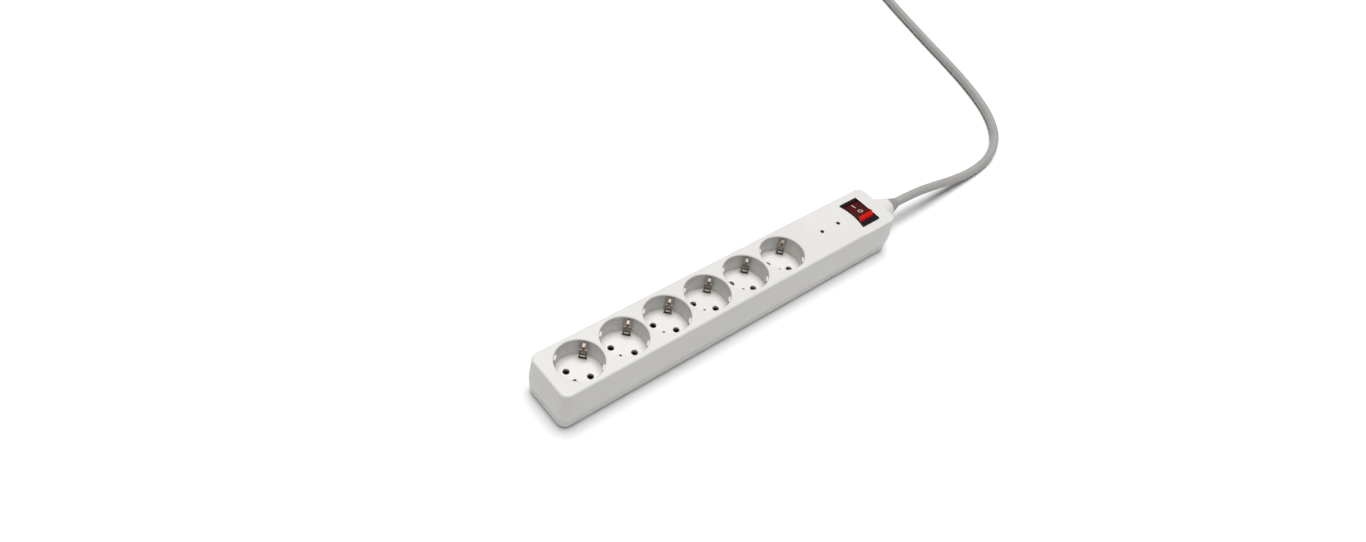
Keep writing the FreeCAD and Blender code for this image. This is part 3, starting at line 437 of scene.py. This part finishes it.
def bar_outline(length, width, middle):
    """The line mark, along the rocker's travel."""
    half_long, half_wide = length / 2, width / 2
    corners = ((-1, -1), (1, -1), (1, 1), (-1, 1))
    return [[(x * half_wide, middle + y * half_long) for x, y in corners]]


def ring_outlines(radius, stroke, middle, count=48):
    """The circle mark: its outer edge, then its inner one."""
    outlines = []
    for r in (radius + stroke / 2, radius - stroke / 2):
        turns = [2 * math.pi * index / count for index in range(count)]
        outlines.append([(r * math.cos(a), middle + r * math.sin(a)) for a in turns])
    return outlines


def print_mark(name, outlines, toward):
    """A thin closed plate between its outlines, laid on the half of the rocker it belongs to."""
    plate = bmesh.new()
    levels = []
    for lift in (PRINT_LOW, PRINT_HIGH):
        levels.append([[plate.verts.new((x, y, lift)) for x, y in outline] for outline in outlines])
    low, high = levels
    count = len(outlines[0])
    for index in range(count):
        after = (index + 1) % count
        plate.faces.new((low[0][index], low[0][after], high[0][after], high[0][index]))
        if len(outlines) == 2:
            plate.faces.new((high[1][index], high[1][after], low[1][after], low[1][index]))
            plate.faces.new((high[0][index], high[0][after], high[1][after], high[1][index]))
            plate.faces.new((low[1][index], low[1][after], low[0][after], low[0][index]))
    if len(outlines) == 1:
        plate.faces.new(high[0])
        plate.faces.new(list(reversed(low[0])))
    on_the_face = Matrix.Translation((0, 0, FACE_HEIGHT)) @ Matrix.Rotation(toward * FACE_SLOPE, 4, "X")
    tipped = Matrix.Translation(ROCKER_PIVOT) @ Matrix.Rotation(ROCKER_TILT, 4, "X")
    bmesh.ops.transform(plate, matrix=tipped @ on_the_face, verts=plate.verts)
    bmesh.ops.recalc_face_normals(plate, faces=plate.faces)
    mesh = bpy.data.meshes.new(name)
    plate.to_mesh(mesh)
    plate.free()
    mark = bpy.data.objects.new(name, mesh)
    bpy.context.scene.collection.objects.link(mark)
    return mark


print_white = finish("print_white", (0.62, 0.58, 0.55), (0.68, 0.64, 0.61), (0.3, 0.4))
line_mark = print_mark("line_mark", bar_outline(4.9 * MM, 0.9 * MM, 5.65 * MM), 1)
circle_mark = print_mark("circle_mark", ring_outlines(2.0 * MM, 0.75 * MM, -2.95 * MM), -1)
for mark in (line_mark, circle_mark):
    mark.data.materials.append(print_white)
    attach(mark, "rocker")
print("marks", line_mark.name, circle_mark.name)

# %% [markdown]
# ## Studio
# A pale floor, an even white surround, and a broad soft sun high overhead, a little behind the strip.
# A sun lights the floor evenly out to its edge, where a lamp close by would leave a bright pool. It
# reaches the floor of every well, the top face is the brightest, and the long near side falls darker.
# Kept near the zenith, it stays out of most of the polished pieces' reflections. The surround lights
# the strip weakly, but shows pale where the camera sees past the floor.

# %% Pale floor
FLOOR_HALF = 6
FLOOR_DROP = -0.2 * MM
floor_mesh = bpy.data.meshes.new("floor")
floor_corners = [(x * FLOOR_HALF, y * FLOOR_HALF, 0) for x, y in ((-1, -1), (1, -1), (1, 1), (-1, 1))]
floor_mesh.from_pydata(floor_corners, [], [(0, 1, 2, 3)])
floor = bpy.data.objects.new("floor", floor_mesh)
floor.location.z = FLOOR_DROP
bpy.context.scene.collection.objects.link(floor)
floor_white = finish("floor_white", (0.95, 0.95, 0.95), (0.97, 0.97, 0.97), (0.6, 0.8), patch=3, grain=300)
floor.data.materials.append(floor_white)
print("floor", 2 * FLOOR_HALF, "m across")

# %% Soft lights and surround
def aimed(name, kind, place, energy):
    """A light that looks at the middle of the strip."""
    data = bpy.data.lights.new(name, kind)
    data.energy = energy
    light = bpy.data.objects.new(name, data)
    light.location = place
    light.rotation_euler = (-Vector(place)).to_track_quat("-Z", "Y").to_euler()
    bpy.context.scene.collection.objects.link(light)
    return data


aimed("key", "SUN", (0.25, 0.3, 3.0), 3.1).angle = math.radians(40)
aimed("fill", "AREA", (-1.2, -1.5, 1.4), 1).size = 1.2

surround = bpy.data.worlds.new("surround")
surround.use_nodes = True
glow = surround.node_tree.nodes["Background"]
glow.inputs["Color"].default_value = (1, 1, 1, 1)
glow.inputs["Strength"].default_value = 0.12
backdrop = surround.node_tree.nodes.new("ShaderNodeBackground")
backdrop.inputs["Color"].default_value = (1, 1, 1, 1)
choice = surround.node_tree.nodes.new("ShaderNodeMixShader")
seen = surround.node_tree.nodes.new("ShaderNodeLightPath")
surround_links = surround.node_tree.links
surround_links.new(seen.outputs["Is Camera Ray"], choice.inputs["Fac"])
surround_links.new(glow.outputs["Background"], choice.inputs[1])
surround_links.new(backdrop.outputs["Background"], choice.inputs[2])
surround_links.new(choice.outputs["Shader"], surround.node_tree.nodes["World Output"].inputs["Surface"])
bpy.context.scene.world = surround
bpy.context.scene.view_settings.view_transform = "Standard"
